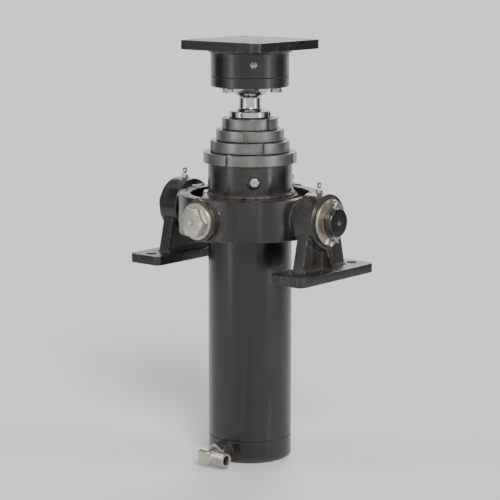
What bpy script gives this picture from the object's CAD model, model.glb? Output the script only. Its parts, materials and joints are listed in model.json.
"""Looks of the telescopic tipping cylinder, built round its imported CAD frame.

Every visible piece is remade finely where its CAD solid stands: turned pieces with
rounded edges, welded plates with their beads, threads, hexagons and lips.  Metres,
+Z up, in the frame's own coordinates.
"""

import json
from math import acos, copysign, cos, degrees, pi, radians, sin, sqrt, tan, tau

import bmesh
import bpy
from mathutils import Matrix, Vector


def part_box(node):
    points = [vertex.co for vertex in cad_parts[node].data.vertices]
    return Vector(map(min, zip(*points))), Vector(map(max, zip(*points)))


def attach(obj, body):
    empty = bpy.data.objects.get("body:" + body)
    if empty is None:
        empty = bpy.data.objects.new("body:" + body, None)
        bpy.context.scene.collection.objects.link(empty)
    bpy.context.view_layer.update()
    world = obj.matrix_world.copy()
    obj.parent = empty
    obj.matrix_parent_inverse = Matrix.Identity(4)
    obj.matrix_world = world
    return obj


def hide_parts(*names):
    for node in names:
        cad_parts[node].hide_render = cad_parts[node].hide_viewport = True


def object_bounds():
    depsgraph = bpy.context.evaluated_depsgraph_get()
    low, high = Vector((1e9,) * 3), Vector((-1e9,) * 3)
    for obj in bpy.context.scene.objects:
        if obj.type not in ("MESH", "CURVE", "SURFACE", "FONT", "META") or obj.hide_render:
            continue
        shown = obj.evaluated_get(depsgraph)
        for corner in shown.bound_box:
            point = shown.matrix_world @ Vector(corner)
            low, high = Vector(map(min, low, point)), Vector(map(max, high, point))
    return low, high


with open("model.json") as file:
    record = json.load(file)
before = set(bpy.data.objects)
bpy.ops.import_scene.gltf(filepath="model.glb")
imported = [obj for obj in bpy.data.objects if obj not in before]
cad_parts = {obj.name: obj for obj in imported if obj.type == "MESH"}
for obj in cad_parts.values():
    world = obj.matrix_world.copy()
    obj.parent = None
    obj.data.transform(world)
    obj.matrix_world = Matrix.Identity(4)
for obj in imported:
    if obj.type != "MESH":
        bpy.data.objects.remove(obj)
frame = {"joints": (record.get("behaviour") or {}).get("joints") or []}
cad_low, cad_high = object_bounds()


def mid_height(node):
    """Height of a CAD piece's middle."""
    return sum(corner.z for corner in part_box(node)) / 2


# ---- sizes from the frame
SEGMENTS = 128  # round the cylinder's axis
SMALL_SEGMENTS = 48  # round pins, bolts and other small turned pieces
BEAD_STEP = 0.0007  # between the points of a weld's path
GAP = 0.0003
QUARTER = pi / 2

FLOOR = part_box("base_cap")[1].z  # the barrel's inner floor
CAP_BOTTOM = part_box("base_cap")[0].z
BARREL_FOOT, BARREL_TOP = (corner.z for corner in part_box("barrel_tube"))
PREFIXES = ("barrel", "stage_1", "stage_2", "stage_3")
TUBE_TOPS = [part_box(f"{prefix}_tube")[1].z for prefix in PREFIXES]
RADII = (0.0540, 0.0450, 0.0375, 0.0300, 0.0225)  # barrel, stages 1 to 3, plunger
BORES = (0.0485, 0.0410, 0.0335, 0.0260, 0.0140)
GLAND_TURNS = (12.0, 57.0, 33.0, 78.0)  # where each gland nut's notches come to rest
PLUNGER_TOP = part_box("plunger")[1].z
PORT_Z = mid_height("inlet_lock_nut")
BALL_Z = frame["joints"][-1]["pos_m"][2]
BALL_RADIUS = 0.030
NECK_RADIUS = 0.014
CUP_RADIUS = 0.050
SOCKET = 0.0353  # radius of the cup's hollow
SOCKET_EDGE = -17.0  # liner and retainers end here, in degrees above the ball's equator

RING_INNER, RING_OUTER, RING_HALF = 0.0765, 0.0920, 0.026
BOSS_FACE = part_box("cradle_ring")[1].y
STUB_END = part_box("cradle_ring")[1].x
PAD_FACE = 0.0718  # the bosses' inner face
BOSS_RADIUS = 0.0265
SPLIT_PIN_X = 0.1365
COLLAR_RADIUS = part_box("trunnion_collar")[1].x
COLLAR_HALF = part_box("trunnion_collar")[1].z
TRUNNION_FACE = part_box("trunnion_collar")[1].y
HUB_START, HUB_END, HUB_RADIUS = 0.0976, 0.1276, 0.0346
FOOT_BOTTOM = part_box("left_bracket")[0].z
PLATE_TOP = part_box("cup_housing")[1].z
PLATE_THICKNESS = 0.012  # body plate and bracket feet
PLATE_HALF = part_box("cup_housing")[1].x
CROSS_AXIS = (("left", 0.0), ("right", pi))  # the ring's stubs, and their turns from +X
LONG_AXIS = (("front", -QUARTER), ("rear", QUARTER))  # the trunnion pins

# The grease nipples' feet, axes, turns and bodies.
HUB_TOP = ((HUB_START + HUB_END) / 2, 0, HUB_RADIUS)
BOSS_TOP = ((PAD_FACE + BOSS_FACE) / 2, 0, BOSS_RADIUS)
NIPPLES = {
    "left": (HUB_TOP, "Z", 0.0, "chassis_brackets"),
    "right": (HUB_TOP, "Z", pi, "chassis_brackets"),
    "ring_front": (BOSS_TOP, "Z", -QUARTER, "cradle_ring"),
    "ring_rear": (BOSS_TOP, "Z", QUARTER, "cradle_ring"),
    "cup": ((CUP_RADIUS - 0.0002, 0, BALL_Z + 0.017), "X", -QUARTER / 2, "cup"),
}

# What puts a mesh's Z axis along each axis of the frame.
TILTS = {"Z": Matrix(), "X": Matrix.Rotation(QUARTER, 4, "Y"), "Y": Matrix.Rotation(-QUARTER, 4, "X")}


# ---- shader building
class Value:
    """What a node gives, which arithmetic joins to further nodes."""

    def __init__(self, shader, socket):
        self.shader, self.socket = shader, socket

    def __add__(self, other):
        return self.shader.math("ADD", self, other)

    def __sub__(self, other):
        return self.shader.math("SUBTRACT", self, other)

    def __rsub__(self, other):
        return self.shader.math("SUBTRACT", other, self)

    def __mul__(self, other):
        return self.shader.math("MULTIPLY", self, other)

    def clamped(self):
        """The same, kept between 0 and 1."""
        self.socket.node.use_clamp = True
        return self


class Shader:
    """The node tree of a material or of the world, with short ways to add and join nodes."""

    def __init__(self, name, kinds=bpy.data.materials, end="Principled BSDF"):
        self.owner = kinds.new(name)
        self.owner.use_nodes = True
        self.tree = self.owner.node_tree
        self.end = self.tree.nodes[end]
        self.place = self.output("TexCoord", "Object")
        self.normal = self.output("NewGeometry", "Normal")

    def put(self, socket, value):
        if isinstance(value, Value):
            self.tree.links.new(value.socket, socket)
        else:
            socket.default_value = value

    def fill(self, node, **inputs):
        """Puts values in a node's sockets, whose names have _ for each space."""
        for name, value in inputs.items():
            self.put(node.inputs[name.replace("_", " ")], value)
        return node

    def node(self, kind, **inputs):
        return self.fill(self.tree.nodes.new("ShaderNode" + kind), **inputs)

    def output(self, kind, name, **inputs):
        return Value(self, self.node(kind, **inputs).outputs[name])

    def math(self, operation, first, second=0.0, kind="Math"):
        node = self.node(kind)
        node.operation = operation
        self.put(node.inputs[0], first)
        self.put(node.inputs[1], second)
        return Value(self, node.outputs["Value"])

    def ramp(self, value, low, high):
        """0 below low and 1 above high, smoothly."""
        node = self.node("MapRange", Value=value, From_Min=low, From_Max=high)
        node.interpolation_type = "SMOOTHSTEP"
        return Value(self, node.outputs["Result"])

    def mix(self, factor, first, second):
        """Mixes two colours."""
        node = self.node("Mix")
        node.data_type = "RGBA"
        first, second = (c if isinstance(c, Value) else (*c, 1.0) for c in (first, second))
        self.fill(node, Factor=factor, A=first, B=second)
        return Value(self, node.outputs["Result"])

    def noise(self, scale, detail=3.0, roughness=0.55, stretch=(1, 1, 1), place=None):
        """Noise on the piece's own coordinates, with cells of about 1/scale metres."""
        vector = self.output("Mapping", "Vector", Vector=place or self.place, Scale=stretch)
        return self.output("TexNoise", "Fac", Vector=vector, Scale=scale, Detail=detail, Roughness=roughness)

    def part(self, axis, vector=None):
        """One part of a vector, or of the place."""
        return self.output("SeparateXYZ", axis, Vector=vector or self.place)

    def radial(self, axis="Z"):
        """Coordinates that change only with the distance from an axis and along it."""
        first, second = (self.part(name) for name in "XYZ" if name != axis)
        distance = self.math("SQRT", first * first + second * second)
        return self.output("CombineXYZ", "Vector", X=distance, Y=self.part(axis))

    def edges(self, radius):
        """1 on edges and corners, from how far a rounded normal leaves the real one."""
        bevel = self.node("Bevel", Radius=radius)
        bevel.samples = 4
        rounded = Value(self, bevel.outputs["Normal"])
        return self.ramp(1.0 - self.math("DOT_PRODUCT", rounded, self.normal, "VectorMath"), 0.02, 0.14)

    def crevice(self, distance):
        """1 deep in corners, where dirt collects."""
        node = self.node("AmbientOcclusion", Distance=distance)
        node.samples = 4
        return (1.0 - Value(self, node.outputs["AO"])).clamped()

    def bump(self, height, distance):
        normal = self.output("Bump", "Normal", Height=height, Distance=distance, Strength=1.0)
        self.fill(self.end, Normal=normal)

    def finish(self, colour, roughness, metallic, **fixed):
        self.fill(self.end, Base_Color=colour, Roughness=roughness, Metallic=metallic, **fixed)
        return self.owner


# ---- materials
def black_paint(name="black_paint", wear=1.0):
    """Satin black chassis paint: orange peel, road dust and runs, chips to steel on the edges."""
    s = Shader(name)
    patches = s.noise(26, 4)
    clouds = s.ramp(s.noise(8, 5, 0.62), 0.40, 0.72)
    runs = s.ramp(s.noise(1.0, 3, 0.6, stretch=(95, 95, 5)), 0.52, 0.72)
    dust_up = s.ramp(s.part("Z", s.normal), 0.25, 0.95) * s.ramp(patches, 0.30, 0.75)
    dust = dust_up * 0.34 + (s.crevice(0.012) * 0.45 + (clouds * 0.08 + runs * 0.07))
    dust = (dust * (s.noise(700, 3) * 0.8 + 0.45)).clamped()
    height = s.part("Z")
    near_glands = s.ramp(height, -0.17, 0.04) * s.ramp(height, 0.070, 0.066)
    oil = near_glands * s.ramp(s.noise(1.0, 3, 0.55, stretch=(75, 75, 2.5)), 0.53, 0.63)
    dust = dust * (1.0 - oil * 0.75)
    chip_noise = s.noise(190, 4, 0.6)
    chips = s.edges(0.0011) * (s.ramp(chip_noise, 0.56, 0.61) * wear)
    halo = s.edges(0.0020) * (s.ramp(chip_noise, 0.49, 0.58) * wear)
    pits = s.ramp(s.noise(130, 2), 0.745, 0.765) * s.ramp(s.noise(11, 3), 0.50, 0.62)
    rust = s.math("MAXIMUM", halo * 0.75, pits * 0.8)
    painted = s.mix(dust, (0.0085, 0.0085, 0.0095), (0.150, 0.128, 0.103))
    rusted = s.mix(rust, painted, (0.080, 0.033, 0.014))
    colour = s.mix(chips, rusted, (0.36, 0.345, 0.33))
    roughness = (dust * 0.50 + patches * 0.15) + (rust * 0.25 + 0.17)
    roughness = (roughness - oil * 0.09).clamped()
    peel = s.noise(330, 1.5) + s.noise(1500, 2) * 0.12
    s.bump(peel - rust * 0.6, 0.00009)
    return s.finish(colour, roughness, chips * 0.85)


def weld_paint():
    """The same paint over weld beads, less chipped on their ripples."""
    return black_paint("weld_paint", 0.3)


def hard_chrome():
    """Ground and chromed rod: fine rings from grinding, faint streaks and an oil film."""
    s = Shader("hard_chrome")
    rings_left = s.noise(900, 2, 0.6, place=s.radial())
    streaks = s.ramp(s.noise(1.0, 2, stretch=(420, 420, 6)), 0.6, 0.8)
    film = s.ramp(s.noise(22, 4, 0.6), 0.45, 0.75)
    colour = s.mix(film * 0.45, (0.49, 0.50, 0.515), (0.36, 0.345, 0.31))
    s.bump(rings_left, 0.000012)
    return s.finish(colour, rings_left * 0.10 + 0.085 + streaks * 0.08 + film * 0.10, 1.0)


def dark_steel():
    """Turned gland nuts, blackened, with tool rings and bright worn edges."""
    s = Shader("dark_steel")
    tool_rings = s.noise(1300, 2, 0.5, place=s.radial())
    worn = s.edges(0.0009) * s.ramp(s.noise(260, 3), 0.42, 0.56)
    oiled = s.mix(s.ramp(s.noise(60, 4), 0.35, 0.7), (0.145, 0.147, 0.155), (0.205, 0.195, 0.180))
    dirt = s.crevice(0.007) * 0.60
    colour = s.mix(dirt, s.mix(worn, oiled, (0.56, 0.55, 0.53)), (0.035, 0.027, 0.020))
    s.bump(tool_rings, 0.000035)
    return s.finish(colour, tool_rings * 0.16 + 0.26 + dirt * 0.3, 0.92 - dirt)


def zinc_plate():
    """Passivated zinc on bolts and fittings, a little cloudy and yellowed."""
    s = Shader("zinc_plate")
    clouds = s.noise(120, 4, 0.6)
    tint = s.mix(s.ramp(clouds, 0.35, 0.68), (0.47, 0.47, 0.46), (0.42, 0.385, 0.29))
    grime = s.crevice(0.004) * s.ramp(s.noise(420, 3), 0.35, 0.7)
    s.bump(s.noise(900, 2), 0.00003)
    return s.finish(s.mix(grime * 0.8, tint, (0.16, 0.14, 0.12)), clouds * 0.24 + 0.20, 1.0 - grime * 0.5)


def bronze():
    """Machined bronze bushes, browned by old grease."""
    s = Shader("bronze")
    brown = s.ramp(s.noise(150, 4), 0.35, 0.7)
    s.bump(s.noise(1200, 2, place=s.radial("Y")), 0.00003)
    return s.finish(s.mix(brown, (0.58, 0.37, 0.16), (0.28, 0.17, 0.08)), brown * 0.2 + 0.22, 1.0)


def seal_rubber():
    """Black rubber with a dull bloom."""
    s = Shader("seal_rubber")
    bloom = s.noise(300, 4)
    s.bump(bloom, 0.00004)
    return s.finish(s.mix(bloom, (0.012, 0.012, 0.012), (0.034, 0.033, 0.032)), bloom * 0.3 + 0.5, 0.0)


def wiper_polyurethane():
    """Dark blue wiper rings, with grime on the lip."""
    s = Shader("wiper_polyurethane")
    grime = (s.crevice(0.004) + s.noise(350, 4) * 0.45).clamped()
    s.bump(s.noise(800, 2), 0.00003)
    return s.finish(s.mix(grime, (0.035, 0.085, 0.19), (0.018, 0.016, 0.014)), grime * 0.3 + 0.28, 0.0)


def guide_band():
    """Woven phenolic bands."""
    s = Shader("guide_band")
    weave = s.noise(1.0, 1, stretch=(1500, 1500, 2600))
    s.bump(weave, 0.00006)
    return s.finish(s.mix(weave, (0.22, 0.11, 0.05), (0.36, 0.20, 0.10)), 0.55, 0.0)


def liner_acetal():
    """Off-white moulded liner with grease stains."""
    s = Shader("liner_acetal")
    stain = s.ramp(s.noise(210, 4, 0.6), 0.40, 0.70)
    colour = s.mix(stain, (0.60, 0.56, 0.46), (0.25, 0.18, 0.10))
    s.bump(s.noise(700, 2), 0.00002)
    return s.finish(colour, 0.38, 0.0, Subsurface_Weight=0.05, Subsurface_Radius=(0.002, 0.0015, 0.001))


def grease():
    """Old amber grease, wet and lumpy."""
    s = Shader("grease")
    lumps = s.noise(420, 4, 0.6)
    s.bump(lumps, 0.0004)
    colour = s.mix(lumps, (0.055, 0.030, 0.010), (0.17, 0.105, 0.045))
    return s.finish(colour, lumps * 0.2 + 0.16, 0.0, Coat_Weight=0.3)


MAKERS = (black_paint, weld_paint, hard_chrome, dark_steel, zinc_plate, bronze, seal_rubber)
MAKERS += (wiper_polyurethane, guide_band, liner_acetal, grease)
MATERIALS = {make.__name__: make() for make in MAKERS}


# ---- building meshes
def turn_of(segments):
    return [tau * k / segments for k in range(segments)]


def ring(radius, height, angles):
    """One row of points round the axis, or the axis point itself."""
    if radius < 1e-7:
        return [(0.0, 0.0, height)]
    return [(radius * cos(a), radius * sin(a), height) for a in angles]


def skin(rows, loop=False):
    """A closed surface through rows of points round an axis."""
    bm = bmesh.new()
    rings = [[bm.verts.new(point) for point in row] for row in rows]
    pairs = list(zip(rings, rings[1:]))
    if loop:
        pairs.append((rings[-1], rings[0]))
    for low, high in pairs:
        count = max(len(low), len(high))
        for k in range(count):
            j = k + 1
            corners = low[k % len(low)], low[j % len(low)], high[j % len(high)], high[k % len(high)]
            bm.faces.new(list(dict.fromkeys(corners)))
    bmesh.ops.recalc_face_normals(bm, faces=bm.faces)
    return bm


def soften(outline, radius):
    """Rounds an outline's corners.  A point's third value is its own rounding."""
    points = [Vector(point[:2]) for point in outline]
    result = []
    for k, here in enumerate(points):
        size = outline[k][2] if len(outline[k]) > 2 else radius
        before = points[k - 1] - here
        after = points[(k + 1) % len(points)] - here
        if size == 0 or here.x < 1e-6:
            result.append(here)
            continue
        start = here + before.normalized() * min(size, 0.45 * before.length)
        end = here + after.normalized() * min(size, 0.45 * after.length)
        for i in range(4):
            t = i / 3
            result.append(start * (1 - t) ** 2 + here * 2 * t * (1 - t) + end * t**2)
    return result


def turned(outline, segments=SEGMENTS, radius=0.0008, warp=None, angles=None):
    """A solid turned about Z.  warp(angle, radius) may pull the radius in."""
    angles = angles or turn_of(segments)
    rows = []
    for r, z in soften(outline, radius):
        row = ring(r, z, angles)
        if warp and len(row) > 1:
            pulled = [warp(a, r) for a in angles]
            row = [(q * cos(a), q * sin(a), z) for q, a in zip(pulled, angles)]
        rows.append(row)
    return skin(rows, loop=outline[0][0] > 1e-7)


def tube(inner, outer, low, high, segments=SEGMENTS, edge=0.0008, bore_edge=None):
    """A tube about Z with its edges rounded, or a bar where inner is 0."""
    bore = edge if bore_edge is None else bore_edge
    outline = [(inner, low, bore), (outer, low, edge), (outer, high, edge), (inner, high, bore)]
    return turned(outline, segments)


def groove(radius, low, depth):
    """Outline points of a 4 mm seal groove in an outer side, from below."""
    return [(radius - dip, low + z, 0.0002) for dip, z in ((0, 0), (depth, 0), (depth, 0.004), (0, 0.004))]


def rings(angles, *points):
    """Rows of points at several radii and heights."""
    return [ring(radius, height, angles) for radius, height in points]


def sphere_arc(radius, start, end, steps):
    """Sharp outline points on a sphere round the ball's centre, by degrees above its equator."""
    angles = [radians(start + (end - start) * k / steps) for k in range(steps + 1)]
    return [(radius * cos(a), BALL_Z + radius * sin(a), 0) for a in angles]


def hexagon(across, low, high, angles, top=True, bottom=False):
    """Rows of a hexagon with its corners chamfered, as on a bolt's head."""
    slope = tan(radians(30))
    land = across / 2 * 0.96
    radii = [across / 2 / cos((a + pi / 6) % (pi / 3) - pi / 6) for a in angles]

    def row(height, rise):
        return [(r * cos(a), r * sin(a), height + (r - land) * rise) for r, a in zip(radii, angles)]

    rows = [row(low, slope if bottom else 0.0), row(high, -slope if top else 0.0)]
    if bottom:
        rows.insert(0, ring(land, low, angles))
    if top:
        rows.append(ring(land, high, angles))
    return rows


def thread(outer, depth, start, end, pitch, angles):
    """Rows of a thread's crests and roots."""
    count = max(1, round((end - start) / pitch))
    step = (end - start) / count
    rows = []
    for k in range(count):
        rows += rings(angles, (outer, start + step * (k + 0.30)), (outer - depth, start + step * (k + 0.80)))
    return rows


def slab(outlines, low, high, edge=0.0009):
    """A flat plate from z low to high, from a rim and holes, with its edges broken."""
    curve = bpy.data.curves.new("slab", "CURVE")
    curve.dimensions = "2D"
    curve.fill_mode = "BOTH"
    curve.extrude = (high - low) / 2 - edge
    curve.bevel_depth = edge
    curve.bevel_resolution = 1
    curve.offset = -edge
    for outline in outlines:
        spline = curve.splines.new("POLY")
        spline.points.add(len(outline) - 1)
        for point, (x, y) in zip(spline.points, outline):
            point.co = (x, y, 0, 1)
        spline.use_cyclic_u = True
    holder = bpy.data.objects.new("slab", curve)
    bm = bmesh.new()
    bm.from_mesh(holder.to_mesh())
    holder.to_mesh_clear()
    bpy.data.objects.remove(holder)
    bmesh.ops.remove_doubles(bm, verts=bm.verts, dist=1e-6)
    bmesh.ops.translate(bm, verts=bm.verts, vec=(0, 0, (low + high) / 2))
    bmesh.ops.recalc_face_normals(bm, faces=bm.faces)
    return bm


def round_rectangle(half_x, half_y, corner, middle=(0, 0)):
    points = []
    for k, (sx, sy) in enumerate(((1, 1), (-1, 1), (-1, -1), (1, -1))):
        for i in range(9):
            a = QUARTER * (k + i / 8)
            x = middle[0] + sx * (half_x - corner) + corner * cos(a)
            y = middle[1] + sy * (half_y - corner) + corner * sin(a)
            points.append((x, y))
    return points


def hole(x, y, radius):
    """A hole's outline, which runs the other way round from a rim."""
    return [(x + radius * cos(a), y - radius * sin(a)) for a in turn_of(40)]


def lay(bm, place=(0, 0, 0), along="Z", turn=0.0):
    """Puts a mesh's Z axis along X, Y or Z at a place, then turns it about the frame's Z."""
    bm.transform(Matrix.Rotation(turn, 4, "Z") @ Matrix.Translation(place) @ TILTS[along])
    return bm


def added(name, data):
    """A new object in the scene."""
    item = bpy.data.objects.new(name, data)
    bpy.context.scene.collection.objects.link(item)
    return item


def mesh_object(name, bm):
    mesh = bpy.data.meshes.new(name)
    bm.to_mesh(mesh)
    bm.free()
    return added(name, mesh)


def fused(base, join=(), cut=()):
    """One solid: a base with shapes joined to it and others cut from it."""
    body = mesh_object("body", base)
    helpers = []
    for shapes, operation in ((join, "UNION"), (cut, "DIFFERENCE")):
        for shape in shapes:
            helper = mesh_object("helper", shape)
            helpers.append(helper)
            modifier = body.modifiers.new("fuse", "BOOLEAN")
            modifier.operation = operation
            modifier.object = helper
    bpy.context.view_layer.update()
    finished = body.evaluated_get(bpy.context.evaluated_depsgraph_get())
    bm = bmesh.new()
    bm.from_mesh(finished.to_mesh())
    finished.to_mesh_clear()
    for holder in (body, *helpers):
        mesh = holder.data
        bpy.data.objects.remove(holder)
        bpy.data.meshes.remove(mesh)
    bmesh.ops.remove_doubles(bm, verts=bm.verts, dist=2e-6)
    return bm


def merged(*shapes):
    """Several shapes in one mesh, which stay separate bodies."""
    result = bmesh.new()
    for shape in shapes:
        mesh = bpy.data.meshes.new("part")
        shape.to_mesh(mesh)
        shape.free()
        result.from_mesh(mesh)
        bpy.data.meshes.remove(mesh)
    return result


def bead(path, radius, closed=True):
    """A weld bead along a path of points: a swept rope with the scales that welding leaves."""
    pitch, sides = 0.0028, 10
    count = len(path)
    length = 0.0
    rows = []
    for k, point in enumerate(path):
        before = path[k - 1] if closed or k > 0 else point
        after = path[(k + 1) % count] if closed or k < count - 1 else point
        tangent = (after - before).normalized()
        length += (point - before).length if k else 0.0
        side = tangent.orthogonal() if k == 0 else (side - tangent * side.dot(tangent))
        side = side.normalized()
        other = tangent.cross(side)
        taper = 1.0
        if not closed:
            from_end = min(k, count - 1 - k) / 4
            taper = sqrt(max(0.0, 1 - (1 - min(from_end, 1.0)) ** 2)) or 0.05
        row = []
        for i in range(sides):
            a = tau * i / sides
            scale = ((length / pitch + 0.16 * sin(2 * a)) % 1.0) ** 0.7
            wander = 0.05 * sin(length * 410) + 0.04 * sin(length * 173 + 1.3)
            size = radius * taper * (0.93 + 0.13 * scale + wander)
            row.append(point + (side * cos(a) + other * sin(a)) * size)
        rows.append(row)
    if not closed:
        rows.insert(0, [path[0]])
        rows.append([path[-1]])
    return skin(rows, loop=closed)


def stepped(points, closed=True):
    """The same path with points about BEAD_STEP apart."""
    result = []
    following = points[1:] + points[:1] if closed else points[1:]
    for start, end in zip(points, following):
        parts = max(1, round((end - start).length / BEAD_STEP))
        result += [start.lerp(end, k / parts) for k in range(parts)]
    if not closed:
        result.append(points[-1])
    return result


def straight_bead(start, end, radius):
    return bead(stepped([Vector(start), Vector(end)], False), radius, False)


def circle_path(radius, height, along="Z", start=0.0, sweep=tau):
    """Points on a circle, or on an arc of one, ready for a bead."""
    count = max(8, round(radius * sweep / BEAD_STEP))
    spans = count if sweep == tau else count - 1
    angles = [start + sweep * k / spans for k in range(count)]
    return [TILTS[along] @ Vector((radius * cos(a), radius * sin(a), height)) for a in angles]


def piece(name, bm, material, body, *nodes):
    """One finished piece, riding on its CAD body and standing for CAD nodes."""
    item = mesh_object(name, bm)
    item.data.materials.append(MATERIALS[material])
    item.data.shade_smooth()
    item.data.set_sharp_from_angle(angle=radians(32))
    item.modifiers.new("even_normals", "WEIGHTED_NORMAL").keep_sharp = True
    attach(item, body)
    if nodes:
        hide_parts(*nodes)


# ---- barrel and stages
def make_guide_collar(stage, name):
    """Collar on a stage's foot, with the groove that its band lies in."""
    low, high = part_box(f"{name}_guide_collar")
    band_low, band_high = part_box(f"{name}_guide_band")
    inner, reach = RADII[stage] + GAP, high.x
    groove_low, groove_high = band_low.z - GAP, band_high.z + GAP
    outline = [(inner, low.z), (reach, low.z, 0.0015), (reach, groove_low, 0.0002)]
    outline += [(reach - 0.0018, groove_low, 0.0002), (reach - 0.0018, groove_high, 0.0002)]
    outline += [(reach, groove_high, 0.0002), (reach, high.z, 0.0012), (inner, high.z)]
    piece(f"{name}_collar", turned(outline), "dark_steel", name, f"{name}_guide_collar")


def make_guide_band(name, body):
    low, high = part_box(f"{name}_guide_band")
    band = tube(high.x - 0.0016, high.x, low.z, high.z, edge=0.0003)
    piece(f"{name}_band", band, "guide_band", body, f"{name}_guide_band")


def make_gland(stage, body):
    """Gland nut with spanner notches, the rod seal inside it and the wiper's lip on top."""
    prefix = PREFIXES[stage]
    low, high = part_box(f"{prefix}_gland_nut")
    foot, top, flange = low.z, high.z, high.x
    seat = TUBE_TOPS[stage] + GAP
    rod = RADII[stage + 1] + GAP
    skirt = BORES[stage] - GAP
    wiper_floor, seal_floor = top - 0.0045, top - 0.0105
    outline = [(rod, foot), (skirt, foot, 0.0012), (skirt, seat - 0.0025, 0.0002)]
    outline += [(skirt - 0.0010, seat - 0.0020, 0.0002), (skirt - 0.0010, seat, 0.0002)]
    outline += [(flange, seat, 0.0006), (flange, top, 0.0014), (rod + 0.0085, top, 0.0005)]
    outline += [(rod + 0.0075, top - 0.0008, 0.0003), (rod + 0.0055, top - 0.0008, 0.0003)]
    outline += [(rod + 0.0055, wiper_floor, 0.0002), (rod + 0.0045, wiper_floor, 0.0002)]
    outline += [(rod + 0.0045, seal_floor, 0.0002), (rod, seal_floor, 0.0002)]
    half = 0.0035 / flange
    first = radians(GLAND_TURNS[stage])
    angles = set(turn_of(SEGMENTS))
    for k in range(4):
        middle = first + k * QUARTER
        for edge in (middle - half, middle + half):
            angles.update(a % tau for a in (edge - 0.003, edge, edge + 0.003))

    def notch(angle, radius):
        off = (angle - first + QUARTER / 2) % QUARTER - QUARTER / 2
        inside = abs(off) < half - 0.001
        return min(radius, flange - 0.0035) if inside and radius > skirt + 0.0005 else radius

    nut = turned(outline, warp=notch, angles=sorted(angles))
    piece(f"{prefix}_gland", nut, "dark_steel", body, f"{prefix}_gland_nut")

    foot, roof = seal_floor + GAP, wiper_floor - GAP
    seal = [(rod + 0.0004, foot, 0.0005), (rod + 0.0042, foot, 0.0005), (rod + 0.0042, roof, 0.0003)]
    seal += [(rod + 0.0024, roof, 0.0003), (rod + 0.0020, wiper_floor - 0.0022, 0.0003)]
    seal += [(rod + 0.0012, roof, 0.0003), (rod, wiper_floor - 0.0008, 0.0003)]
    piece(f"{prefix}_seal", turned(seal), "seal_rubber", body, f"{prefix}_rod_seal")

    foot, roof = wiper_floor + GAP, top - 0.0008
    wiper = [(rod + 0.0008, foot, 0.0003), (rod + 0.0052, foot, 0.0003), (rod + 0.0052, roof, 0.0003)]
    wiper += [(rod + 0.0030, roof, 0.0003), (rod + 0.0022, top - 0.0022, 0.0004)]
    wiper += [(rod + 0.0007, top + 0.0002, 0.0002), (rod + 0.0001, top - 0.0002, 0.0002)]
    piece(f"{prefix}_wiper_ring", turned(wiper), "wiper_polyurethane", body, f"{prefix}_wiper")


def make_stage(stage):
    name = f"stage_{stage}"
    rod = tube(BORES[stage], RADII[stage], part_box(f"{name}_tube")[0].z, TUBE_TOPS[stage])
    piece(f"{name}_rod", rod, "hard_chrome", name, f"{name}_tube")
    make_guide_collar(stage, name)
    make_guide_band(name, name)
    make_gland(stage, name)


def make_plunger():
    rod = tube(BORES[4], RADII[4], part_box("plunger")[0].z, PLUNGER_TOP)
    piece("plunger_rod", rod, "hard_chrome", "plunger", "plunger")
    make_guide_collar(4, "plunger")
    make_guide_band("plunger", "plunger_band")


def make_ball_stud():
    """Ball, filleted neck and tommy-bar holes in the flange."""
    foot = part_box("ball_stud")[0].z
    flange_low, flange_top = PLUNGER_TOP + GAP, PLUNGER_TOP + GAP + 0.008
    spigot, flange = BORES[4] - GAP, 0.027
    neck_angle = -degrees(acos(NECK_RADIUS / BALL_RADIUS))
    outline = [(0.0, foot), (spigot, foot, 0.0015), *groove(spigot, PLUNGER_TOP - 0.010, 0.0025)]
    outline += [(spigot, flange_low - 0.0015, 0.0003), (spigot - 0.0008, flange_low, 0.0003)]
    outline += [(flange, flange_low, 0.0012), (flange, flange_top, 0.0016)]
    outline += [(NECK_RADIUS + 0.0035, flange_top, 0.0005), (NECK_RADIUS, flange_top + 0.0035, 0.0030)]
    neck_top = BALL_Z + BALL_RADIUS * sin(radians(neck_angle)) - 0.0005
    outline += [(NECK_RADIUS, neck_top, 0.0012), *sphere_arc(BALL_RADIUS, neck_angle + 3, 88, 40)]
    outline.append((0.0, BALL_Z + BALL_RADIUS * sin(radians(88))))
    hole_start = (0.019, 0, (flange_low + flange_top) / 2)
    turns = [0.3 + k * QUARTER for k in range(4)]
    bars = [lay(tube(0, 0.0027, 0.0, 0.012, 24, 0.0), hole_start, "X", turn) for turn in turns]
    piece("ball_stud_piece", fused(turned(outline), cut=bars), "hard_chrome", "plunger", "ball_stud")
    make_o_ring("ball_stud_seal_ring", "ball_stud_o_ring", 0.0011, "plunger")


def make_o_ring(name, node, wire, body):
    """Round ring of a wire's radius, as wide as its CAD ring."""
    radius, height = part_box(node)[1].x - wire, mid_height(node)
    outline = [(radius + wire * cos(a), height + wire * sin(a), 0) for a in turn_of(16)]
    piece(name, turned(outline), "seal_rubber", body, node)


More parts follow.
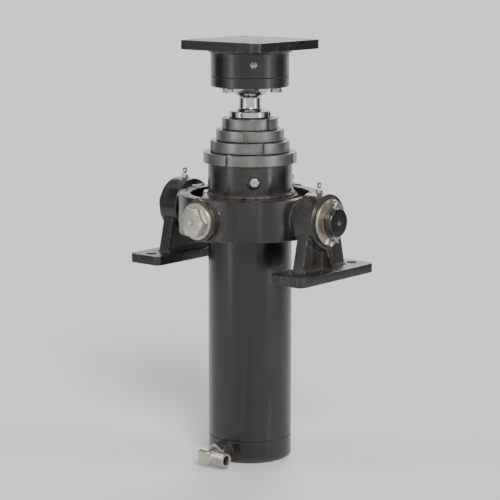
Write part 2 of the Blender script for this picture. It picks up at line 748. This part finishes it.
def make_barrel():
    """Painted tube with a bleed boss, its weld and its screw."""
    wall = tube(BORES[0], RADII[0], BARREL_FOOT, BARREL_TOP, edge=0.0016, bore_edge=0.0010)
    turn = -QUARTER / 2
    height = mid_height("bleed_screw")
    boss = [(0, 0.0515), (0.0078, 0.0515), (0.0078, 0.060, 0.0010), (0.0035, 0.060, 0.0008)]
    boss += [(0.0028, 0.059), (0.0028, 0.053), (0, 0.053)]
    boss = lay(turned(boss, SMALL_SEGMENTS, 0.0), (0, 0, height), "X", turn)
    piece("barrel_tube_piece", fused(wall, [boss]), "black_paint", "barrel", "barrel_tube")

    angles = turn_of(SMALL_SEGMENTS)
    rows = rings(angles, (0, 0.0545), (0.0024, 0.0545), (0.0024, 0.0603))
    rows += hexagon(0.010, 0.0603, 0.0645, angles)
    rows += rings(angles, (0.0030, 0.0645), (0.0026, 0.0658), (0.0009, 0.0658), (0.0009, 0.0640), (0, 0.0640))
    screw = lay(skin(rows), (0, 0, height), "X", turn)
    piece("bleed_screw_piece", screw, "zinc_plate", "barrel", "bleed_screw")

    joint_weld("bleed_boss_weld", "barrel", 0.0080, RADII[0], 0.0018, turn, height)


def joint_weld(name, body, radius, other, size, turn, height=0.0, limit=None):
    """Bead where a round bar that lies along a bearing meets a cylinder about Z."""
    spin = Matrix.Rotation(turn, 4, "Z")
    points = []
    for a in turn_of(72):
        across, up = radius * cos(a), radius * sin(a)
        depth = sqrt(other**2 - across**2)
        if limit and abs(up) > limit:
            up = copysign(limit, up)
            depth -= 0.0015
        points.append(spin @ Vector((depth, across, up + height)))
    piece(name, bead(stepped(points), size), "weld_paint", body)


def make_base_cap():
    """Base with a turned bottom, two spanner holes and the port boss."""
    rim, spigot = RADII[0], BORES[0] - GAP
    outline = [(0, CAP_BOTTOM + 0.0010), (0.020, CAP_BOTTOM + 0.0010, 0.0006), (0.0215, CAP_BOTTOM, 0.0006)]
    outline += [(rim - 0.003, CAP_BOTTOM, 0.0010), (rim, CAP_BOTTOM + 0.003, 0.0010)]
    outline += [(rim, BARREL_FOOT - GAP, 0.0014), (spigot, BARREL_FOOT - GAP, 0.0003)]
    outline += [*groove(spigot, FLOOR - 0.0085, 0.003), (spigot, FLOOR, 0.0010), (0, FLOOR)]
    port_face = 0.064
    boss = [(0, 0.040), (0.0138, 0.040), (0.0138, port_face, 0.0012), (0, port_face)]
    bore = [(0, 0.045), (0.0079, 0.045), (0.0079, 0.0625, 0.0003)]
    bore += [(0.0092, 0.0642, 0.0003), (0.0092, 0.068), (0, 0.068)]
    cuts = [lay(turned(bore, SMALL_SEGMENTS, 0.0), (0, 0, PORT_Z), "X", -QUARTER)]
    for side in (0, 1):
        hole_for_spanner = tube(0, 0.0040, -0.002, 0.008, 32, 0.0)
        cuts.append(lay(hole_for_spanner, (0.036, 0, CAP_BOTTOM), "Z", side * pi + 0.5))
    port = lay(turned(boss, SMALL_SEGMENTS), (0, 0, PORT_Z), "X", -QUARTER)
    piece("base_cap_piece", fused(turned(outline), [port], cuts), "black_paint", "barrel", "base_cap")
    joint_weld("port_boss_weld", "barrel", 0.0140, rim, 0.0020, -QUARTER, PORT_Z, 0.0118)
    make_o_ring("base_seal_ring", "base_o_ring", 0.0014, "barrel")


def make_inlet():
    """Forged elbow with a coned, threaded outlet, its lock nut and a washer."""
    middle = (0, -0.0845, PORT_Z)
    half = 0.0098
    body = bmesh.new()
    bmesh.ops.create_cube(body, size=2 * half)
    bmesh.ops.bevel(body, geom=body.edges[:], offset=0.0046, segments=5, profile=0.55, affect="EDGES")
    lay(body, middle)
    angles = turn_of(SMALL_SEGMENTS)
    outlet = rings(angles, (0, -0.006), (0.0088, -0.006), (0.0088, 0.0118))
    outlet += rings(angles, (0.0079, 0.0126), (0.0079, 0.0142))
    outlet += thread(0.0090, 0.0009, 0.0142, 0.0306, 0.0015, angles)
    outlet += rings(angles, (0.0084, 0.0312), (0.0080, 0.0320), (0.0067, 0.0320))
    outlet += rings(angles, (0.0050, 0.0285), (0.0050, 0.0020), (0, 0.0020))
    stem = rings(angles, (0, 0), (0.0086, 0), (0.0086, 0.0110), (0.0078, 0.0116))
    stem += thread(0.0080, 0.0008, 0.0118, 0.0320, 0.0014, angles)
    stem += rings(angles, (0.0070, 0.0325), (0, 0.0325))
    bore = lay(tube(0, 0.0050, -0.004, 0.0300, SMALL_SEGMENTS, 0.0), middle, "X")
    elbow = fused(body, [lay(skin(outlet), middle, "X"), lay(skin(stem), middle, "Y")], [bore])
    piece("inlet_elbow_piece", elbow, "zinc_plate", "barrel", "inlet_elbow")

    low, high = (-corner.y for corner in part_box("inlet_lock_nut"))
    face = -high - 0.0012
    nut = hexagon(0.024, -low, face, angles, bottom=True)
    nut += rings(angles, (0.0084, face), (0.0084, -low))
    nut = lay(skin(nut, loop=True), (0, 0, PORT_Z), "Y")
    piece("inlet_lock_nut_piece", nut, "zinc_plate", "barrel", "inlet_lock_nut")
    washer = lay(tube(0.0084, 0.0118, 0, 0.0011, SMALL_SEGMENTS, 0.0003), (0, face, PORT_Z), "Y")
    piece("inlet_seal_washer", washer, "seal_rubber", "barrel")


def make_trunnion_collar():
    """Band with its two bored bosses, welded round the barrel above and below."""
    inner = RADII[0] + GAP
    band = tube(inner, COLLAR_RADIUS, -COLLAR_HALF, COLLAR_HALF, edge=0.0018, bore_edge=0.0008)
    bosses, bores = [], []
    for name, turn in LONG_AXIS:
        outline = [(0, 0.0575), (0.0218, 0.0575), (0.0218, TRUNNION_FACE, 0.0014), (0, TRUNNION_FACE)]
        bosses.append(lay(turned(outline, 96), along="X", turn=turn))
        bores.append(lay(tube(0, 0.0121, 0.052, 0.07, 48, 0.0), along="X", turn=turn))
        joint_weld(f"{name}_boss_weld", "barrel", 0.0220, COLLAR_RADIUS, 0.0024, turn)
    piece("trunnion_collar_piece", fused(band, bosses, bores), "black_paint", "barrel", "trunnion_collar")
    for name, height in (("upper", COLLAR_HALF + 0.0006), ("lower", -COLLAR_HALF - 0.0006)):
        weld = bead(circle_path(inner + 0.0010, height), 0.0036)
        piece(f"collar_{name}_weld", weld, "weld_paint", "barrel")


def make_trunnion_pin(name, turn):
    """Pin with a flange and a chamfered hexagon, threaded into the collar's boss."""
    angles = turn_of(72)
    seat, face, end = TRUNNION_FACE + GAP, BOSS_FACE + 0.0006, BOSS_FACE + 0.0150
    rows = rings(angles, (0, 0.0560), (0.0105, 0.0560))
    rows += thread(0.0118, 0.0010, 0.0565, 0.0670, 0.0015, angles)
    rows += rings(angles, (0.0110, seat), (0.0146, seat), (0.0150, TRUNNION_FACE + 0.0008), (0.0150, face))
    rows += rings(angles, (0.0224, face), (0.0230, face + 0.0006), (0.0230, face + 0.0040))
    rows += rings(angles, (0.0222, face + 0.0048))
    rows += hexagon(0.034, face + 0.0050, end, angles)
    rows += rings(angles, (0.0045, end), (0.0016, BOSS_FACE + 0.0125), (0, BOSS_FACE + 0.0120))
    pin = lay(skin(rows), along="X", turn=turn)
    piece(f"{name}_pin_piece", pin, "zinc_plate", "barrel", f"{name}_trunnion_pin")


# ---- ring and brackets
def make_cradle_ring():
    """Forged ring with welded stubs and bosses."""
    band = tube(RING_INNER, RING_OUTER, -RING_HALF, RING_HALF, 192, 0.0030, 0.0026)
    stub = [(0, 0.084), (0.027, 0.084), (0.027, 0.097, 0.0014), (0.018, 0.097, 0.0004)]
    stub += [(0.018, STUB_END, 0.0022), (0.0040, STUB_END, 0.0003)]
    stub += [(0.0014, STUB_END - 0.0026, 0.0003), (0, STUB_END - 0.0026)]
    joins, cuts = [], []
    for _, turn in CROSS_AXIS:
        joins.append(lay(turned(stub, 96), along="X", turn=turn))
        cuts.append(lay(tube(0, 0.0026, -0.03, 0.03, 32, 0.0), (SPLIT_PIN_X, 0, 0), "Z", turn))
    for _, turn in reversed(LONG_AXIS):
        boss = [(0, PAD_FACE), (BOSS_RADIUS, PAD_FACE, 0.0010), (BOSS_RADIUS, BOSS_FACE, 0.0016)]
        joins.append(lay(turned([*boss, (0, BOSS_FACE)], 96), along="X", turn=turn))
        cuts.append(lay(tube(0, 0.0193, 0.060, 0.110, 96, 0.0), along="X", turn=turn))
    piece("cradle_ring_piece", fused(band, joins, cuts), "black_paint", "cradle_ring", "cradle_ring")
    edge = RING_HALF - 0.001
    for axis, radius in ((CROSS_AXIS, 0.027), (LONG_AXIS, BOSS_RADIUS)):
        for name, turn in axis:
            joint_weld(f"ring_{name}_weld", "cradle_ring", radius, RING_OUTER, 0.0026, turn, 0.0, edge)


def make_bush(name, turn):
    """Flanged bush in one of the ring's bosses."""
    face = TRUNNION_FACE + 0.0005
    outline = [(0.0153, face), (0.0240, face, 0.0005), (0.0240, PAD_FACE - GAP, 0.0005)]
    outline += [(0.0190, PAD_FACE - GAP, 0.0002), (0.0190, BOSS_FACE, 0.0005), (0.0153, BOSS_FACE, 0.0004)]
    bush = lay(turned(outline, 96, 0.0004), along="X", turn=turn)
    piece(f"{name}_bush_piece", bush, "bronze", "cradle_ring", f"{name}_trunnion_bush")


def make_stub_hardware(name, turn):
    """Washer and split pin on a stub's end."""
    start = HUB_END + 0.0006
    washer = lay(tube(0.0184, 0.0290, start, start + 0.004, 96, 0.0007), along="X", turn=turn)
    piece(f"{name}_washer_piece", washer, "zinc_plate", "cradle_ring", f"{name}_stub_washer")
    pin = lay(split_pin(), (SPLIT_PIN_X, 0, 0), "Z", turn)
    piece(f"{name}_split_pin_piece", pin, "zinc_plate", "cradle_ring", f"{name}_split_pin")


def split_pin():
    """A half-round wire folded into an eye, through the stub, with its legs bent apart."""
    eye, top = 0.0032, 0.0240
    leg = [(0.00005, z) for z in (-0.0195, -0.010, 0.0, 0.010, top - 0.0045)]
    right_end = [(0.0090, -0.0262), (0.0064, -0.0248), (0.0038, -0.0232), (0.0015, -0.0213)]
    left_end = [(-0.0062, -0.0290), (-0.0042, -0.0262), (-0.0022, -0.0236), (-0.0007, -0.0212)]
    turns = [radians(30 + 20 * k) for k in range(16)]
    loop = [(eye * sin(a), top + eye * (1 - cos(a)) - eye * 0.7) for a in turns]
    path = right_end + leg + loop + [(-y, z) for y, z in reversed(leg)] + left_end[::-1]
    path = [Vector((0, y, z)) for y, z in path]
    half = [(cos(a), sin(a)) for a in [radians(-90 + 18 * i) for i in range(11)]]
    across = Vector((1, 0, 0))
    count = len(path)
    rows = []
    for k, point in enumerate(path):
        tangent = (path[min(k + 1, count - 1)] - path[max(k - 1, 0)]).normalized()
        outward = tangent.cross(across) * -1
        wire = 0.0018 if 0 < k < count - 1 else 0.0012
        rows.append([point + (outward * x + across * y) * wire for x, y in half])
    rows.insert(0, [path[0] + (rows[0][5] - path[0]) * 0.4])
    rows.append([path[-1] + (rows[-1][5] - path[-1]) * 0.4])
    return skin(rows)


def make_bracket(name, turn):
    """Welded foot bracket with a bored hub, its bush and its beads."""
    foot_start, foot_end, foot_half = 0.0926, 0.1446, 0.075
    foot_top = FOOT_BOTTOM + PLATE_THICKNESS
    rim = round_rectangle((foot_end - foot_start) / 2, foot_half, 0.008, ((foot_start + foot_end) / 2, 0))
    foot = slab([rim, hole(0.1186, -0.060, 0.007), hole(0.1186, 0.060, 0.007)], FOOT_BOTTOM, foot_top)
    upright_start, upright_end = 0.1046, 0.1206
    over_hub = [radians(-20 + 10 * k) for k in range(23)]
    saddle = [(0.034 * cos(a), 0.034 * sin(a)) for a in over_hub]
    outline = [(0.044, foot_top - 0.002), *saddle, (-0.044, foot_top - 0.002)]
    upright = slab([outline], upright_start, upright_end)
    upright.transform(Matrix(((0, 0, 1), (1, 0, 0), (0, 1, 0))).to_4x4())
    rib = [(foot_end - 0.004, foot_top - 0.002), (HUB_END - 0.001, -0.0325)]
    rib += [(upright_end - 0.002, -0.0325), (upright_end - 0.002, foot_top - 0.002)]
    rib = slab([rib], -0.004, 0.004, 0.0006)
    rib.transform(Matrix(((1, 0, 0), (0, 0, -1), (0, 1, 0))).to_4x4())
    hub = lay(tube(0, HUB_RADIUS, HUB_START, HUB_END, 128, 0.0016), along="X")
    bore = lay(tube(0, 0.0222, 0.090, 0.140, 96, 0.0), along="X")
    body = lay(fused(foot, [upright, rib, hub], [bore]), turn=turn)
    piece(f"{name}_bracket_piece", body, "black_paint", "chassis_brackets", f"{name}_bracket")

    faces = (upright_start, upright_end)
    beads = [straight_bead((x, -0.043, foot_top), (x, 0.043, foot_top), 0.0030) for x in faces]
    for y in (-0.0046, 0.0046):
        beads.append(straight_bead((upright_end, y, foot_top), (foot_end - 0.005, y, foot_top), 0.0020))
        beads.append(straight_bead((upright_end, y, foot_top), (upright_end, y, -0.034), 0.0020))
    for x in faces:
        arc = circle_path(HUB_RADIUS, x, along="X", start=radians(-62), sweep=radians(124))
        beads.append(bead(arc, 0.0026, closed=False))
    piece(f"{name}_bracket_welds", lay(merged(*beads), turn=turn), "weld_paint", "chassis_brackets")

    bush = lay(tube(0.0184, 0.0220, HUB_START, HUB_END, 96, 0.0005), along="X", turn=turn)
    piece(f"{name}_bush_piece", bush, "bronze", "chassis_brackets", f"{name}_bracket_bush")


def nipple():
    """Grease nipple standing on z = 0."""
    angles = turn_of(SMALL_SEGMENTS)
    rows = rings(angles, (0, -0.0055), (0.0022, -0.0055), (0.0024, GAP))
    rows += hexagon(0.0075, GAP, 0.0045, angles)
    rows += rings(angles, (0.0027, 0.0046), (0.0020, 0.0056), (0.0019, 0.0066), (0.0024, 0.0074))
    rows += rings(angles, (0.0030, 0.0086), (0.0031, 0.0096), (0.0026, 0.0108), (0.0016, 0.0118))
    rows += rings(angles, (0.0009, 0.0119), (0.0006, 0.0112), (0, 0.0110))
    return skin(rows)


def make_nipples():
    for name, (place, along, turn, body) in NIPPLES.items():
        fitting = lay(nipple(), place, along, turn)
        piece(f"{name}_nipple_piece", fitting, "zinc_plate", body, f"{name}_grease_nipple")


# ---- the cup
def make_cup():
    """Cup housing welded under its body plate, and the liner."""
    under = PLATE_TOP - PLATE_THICKNESS
    outline = [(0, BALL_Z), (CUP_RADIUS, BALL_Z, 0.0012), (CUP_RADIUS, under + 0.004, 0), (0, under + 0.004)]
    dome = [(0, BALL_Z - 0.002), (SOCKET, BALL_Z - 0.002, 0)]
    dome += [*sphere_arc(SOCKET, 0, 87, 30), (0, BALL_Z + SOCKET)]
    spots = [(0.0523 * sx, 0.0523 * sy) for sx in (1, -1) for sy in (1, -1)]
    rim = round_rectangle(PLATE_HALF, PLATE_HALF, 0.010)
    plate = slab([rim, *(hole(x, y, 0.0065) for x, y in spots)], under, PLATE_TOP)
    housing = fused(plate, [turned(outline)], [turned(dome)])
    piece("cup_housing_piece", housing, "black_paint", "cup", "cup_housing")
    weld = bead(circle_path(CUP_RADIUS + 0.0004, under - 0.0004), 0.0034)
    piece("cup_weld", weld, "weld_paint", "cup")

    liner = sphere_arc(0.0345, SOCKET_EDGE, 70, 24)
    liner += sphere_arc(0.0306, 70, SOCKET_EDGE, 24)
    liner[0] = (*liner[0][:2], 0.0008)
    liner[-1] = (*liner[-1][:2], 0.0008)
    piece("ball_liner_piece", turned(liner), "liner_acetal", "ball_seat", "ball_seat_liner")


def make_retainers():
    """Two turned half rings with a narrow joint, and their bolts and washers."""
    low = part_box("cup_retainer_front")[0].z
    top = BALL_Z - GAP
    outline = [(SOCKET, top, 0.0004), *sphere_arc(SOCKET, -1, SOCKET_EDGE, 6), (0.0385, low, 0.0008)]
    outline += [(CUP_RADIUS, low, 0.0016), (CUP_RADIUS, top, 0.0010)]
    for name, turn in (("front", -QUARTER / 2), ("rear", 1.5 * QUARTER)):
        other_half = bmesh.new()
        bmesh.ops.create_cube(other_half, size=0.12)
        lay(other_half, (GAP - 0.06, 0, BALL_Z))
        half = lay(fused(turned(outline), cut=[other_half]), turn=turn)
        piece(f"cup_{name}_half", half, "black_paint", "cup", f"cup_retainer_{name}")
    for k in range(4):
        bolt = lay(cup_bolt(), (0.043, 0, low - GAP), "Z", k * QUARTER)
        piece(f"cup_bolt_piece_{k + 1}", bolt, "zinc_plate", "cup", f"cup_bolt_{k + 1}")


def cup_bolt():
    """Hexagon bolt pointing up, with a spring washer under its head."""
    angles = turn_of(SMALL_SEGMENTS)
    rows = rings(angles, (0, 0.026), (0.0036, 0.026), (0.0039, 0.025), (0.0039, 0.0), (0.0068, 0.0))
    rows += rings(angles, (0.0070, -0.0003), (0.0070, -0.0013), (0.0062, -0.0015))
    rows += reversed(hexagon(0.013, -0.0053, -0.0016, angles, top=False, bottom=True))
    rows += rings(angles, (0.0022, -0.0053), (0.0018, -0.0050), (0, -0.0050))
    return skin(rows)


def smear(name, outline, wobble, seed, body, place=(0, 0, 0), along="Z", turn=0.0):
    """Grease squeezed out round a joint: a ring whose outer side wanders."""
    middle = sum(point[0] for point in outline) / len(outline)

    def wander(a, r):
        wave = sin(3 * a + seed) + 0.7 * sin(7 * a + 2 * seed) + 0.5 * sin(17 * a + 3 * seed)
        return r + wobble * wave if r > middle else r

    ring_of_grease = lay(turned(outline, 96, 0.0003, wander), place, along, turn)
    piece(name, ring_of_grease, "grease", body)


def make_grease():
    """Old grease under the ball's liner, round the stubs and trunnion pins, and on the nipples."""
    ooze = [(0.0290, -0.0100), (0.0308, -0.0101), (0.0316, -0.0110), (0.0306, -0.0124), (0.0287, -0.0120)]
    smear("ball_grease", [(r, BALL_Z + z) for r, z in ooze], 0.0003, 0.4, "ball_seat")
    outside, flange = HUB_END + 0.0046, BOSS_FACE + GAP
    stub = [(0.0179, -0.001), (0.0198, -0.001), (0.0194, 0.0008), (0.0179, 0.0014)]
    stub = [(r, outside + x) for r, x in stub]
    pin = [(0.0200, -0.0002), (0.0238, -0.0002), (0.0238, 0.0002), (0.0200, 0.0002)]
    pin = [(r, flange + x) for r, x in pin]
    for name, turn in CROSS_AXIS:
        smear(f"{name}_stub_grease", stub, 0.0003, 1.0 + turn, "cradle_ring", along="X", turn=turn)
    for name, turn in LONG_AXIS:
        smear(f"{name}_pin_grease", pin, 0.0003, 2.0 + turn, "barrel", along="X", turn=turn)
    blob = [(0, 0.0100), (0.0024, 0.0102), (0.0030, 0.0116), (0.0021, 0.0132), (0.0008, 0.0139), (0, 0.0140)]
    for name, fitting in (("left", "left"), ("right", "right"), ("rear", "ring_rear")):
        place, along, turn, body = NIPPLES[fitting]
        smear(f"{name}_nipple_grease", blob, 0.0002, turn, body, place, along, turn)


# ---- stage and camera
HORIZON, ZENITH = (1.06, 1.06, 1.06), (0.27, 0.29, 0.32)
LAMPS = (  # soft suns: where from, power and tint
    ("key", (5.0, -3.6, 4.6), 2.9, (1.0, 0.97, 0.93)),
    ("rim", (-3.4, 5.2, 4.4), 1.6, (1.0, 1.0, 1.0)),
    ("fill", (-5.2, -4.4, 2.2), 0.95, (0.93, 0.96, 1.0)),
    ("strip", (4.6, 2.6, 1.6), 1.15, (1.0, 0.98, 0.95)),
)
CARDS = (  # bearing in degrees from +X, half width, and glow in the middle
    ("left_dark_card", 50, 0.95, 0.0),
    ("right_dark_card", 210, 0.95, 0.0),
    ("left_strip", 5, 0.22, 4.0),
    ("right_strip", 255, 0.22, 4.0),
)
CARD_HALF_HEIGHT, CARD_DISTANCE, CARD_MIDDLE = 1.6, 1.5, 1.2
CAMERA_AZIMUTH, CAMERA_ELEVATION, CAMERA_DISTANCE = radians(40), radians(10), 2.3


def make_floor():
    bpy.ops.mesh.primitive_plane_add(size=80, location=(0, 0, CAP_BOTTOM - 0.0004))
    floor = bpy.context.active_object
    floor.name = "floor"
    s = Shader("floor")
    tone = s.mix(s.noise(3, 4), (0.74, 0.735, 0.725), (0.79, 0.785, 0.775))
    s.bump(s.noise(260, 3), 0.00010)
    floor.data.materials.append(s.finish(tone, 0.9, 0.0, Specular_IOR_Level=0.0))


def make_surround():
    """A world as pale as the lit floor at the horizon, and darker overhead."""
    s = Shader("surround", bpy.data.worlds, "Background")
    height = s.part("Z", s.output("TexCoord", "Generated"))
    s.fill(s.end, Color=s.mix(s.ramp(height, 0.06, 0.60), HORIZON, ZENITH))
    bpy.context.scene.world = s.owner


def make_lamp(name, direction, power, tint):
    lamp = bpy.data.lights.new(name, "SUN")
    lamp.energy = power
    lamp.color = tint
    lamp.angle = radians(24)
    holder = added(name, lamp)
    holder.location = direction
    holder.rotation_euler = Vector(direction).to_track_quat("Z", "Y").to_euler()


def make_card(name, bearing, half_width, glow):
    """A tall card that only reflections show; it fades into the surround at its sides."""
    s = Shader(name)
    side = s.ramp(s.math("ABSOLUTE", s.part("X")), 0.2 * half_width, half_width)
    light = {"Emission_Color": (*HORIZON, 1.0), "Emission_Strength": side * (1.0 - glow) + glow}
    card = mesh_object(name, slab([round_rectangle(half_width, CARD_HALF_HEIGHT, 0.05)], 0.0, 0.004))
    card.data.materials.append(s.finish((0, 0, 0, 1), 1.0, 0.0, Specular_IOR_Level=0.0, **light))
    turn = radians(bearing)
    card.location = Matrix.Rotation(turn, 3, "Z") @ Vector((CARD_DISTANCE, 0, CARD_MIDDLE))
    card.rotation_euler = (QUARTER, 0, turn + QUARTER)
    card.visible_camera = card.visible_diffuse = card.visible_shadow = card.visible_transmission = False


def make_camera():
    target = (cad_low + cad_high) / 2
    level = cos(CAMERA_ELEVATION)
    back = Vector((sin(CAMERA_AZIMUTH) * level, -cos(CAMERA_AZIMUTH) * level, sin(CAMERA_ELEVATION)))
    camera = added("camera", bpy.data.cameras.new("camera"))
    camera.data.lens, camera.data.sensor_width = 128, 36
    camera.location = target + back * CAMERA_DISTANCE
    camera.rotation_euler = back.to_track_quat("Z", "Y").to_euler()
    bpy.context.scene.camera = camera


make_floor()
make_surround()
for lamp in LAMPS:
    make_lamp(*lamp)
for card in CARDS:
    make_card(*card)
make_camera()
make_barrel()
make_base_cap()
make_inlet()
make_trunnion_collar()
make_gland(0, "barrel")
for number in (1, 2, 3):
    make_stage(number)
make_plunger()
make_ball_stud()
make_cradle_ring()
for side in LONG_AXIS:
    make_trunnion_pin(*side)
    make_bush(*side)
for side in CROSS_AXIS:
    make_bracket(*side)
    make_stub_hardware(*side)
make_nipples()
make_cup()
make_retainers()
make_grease()
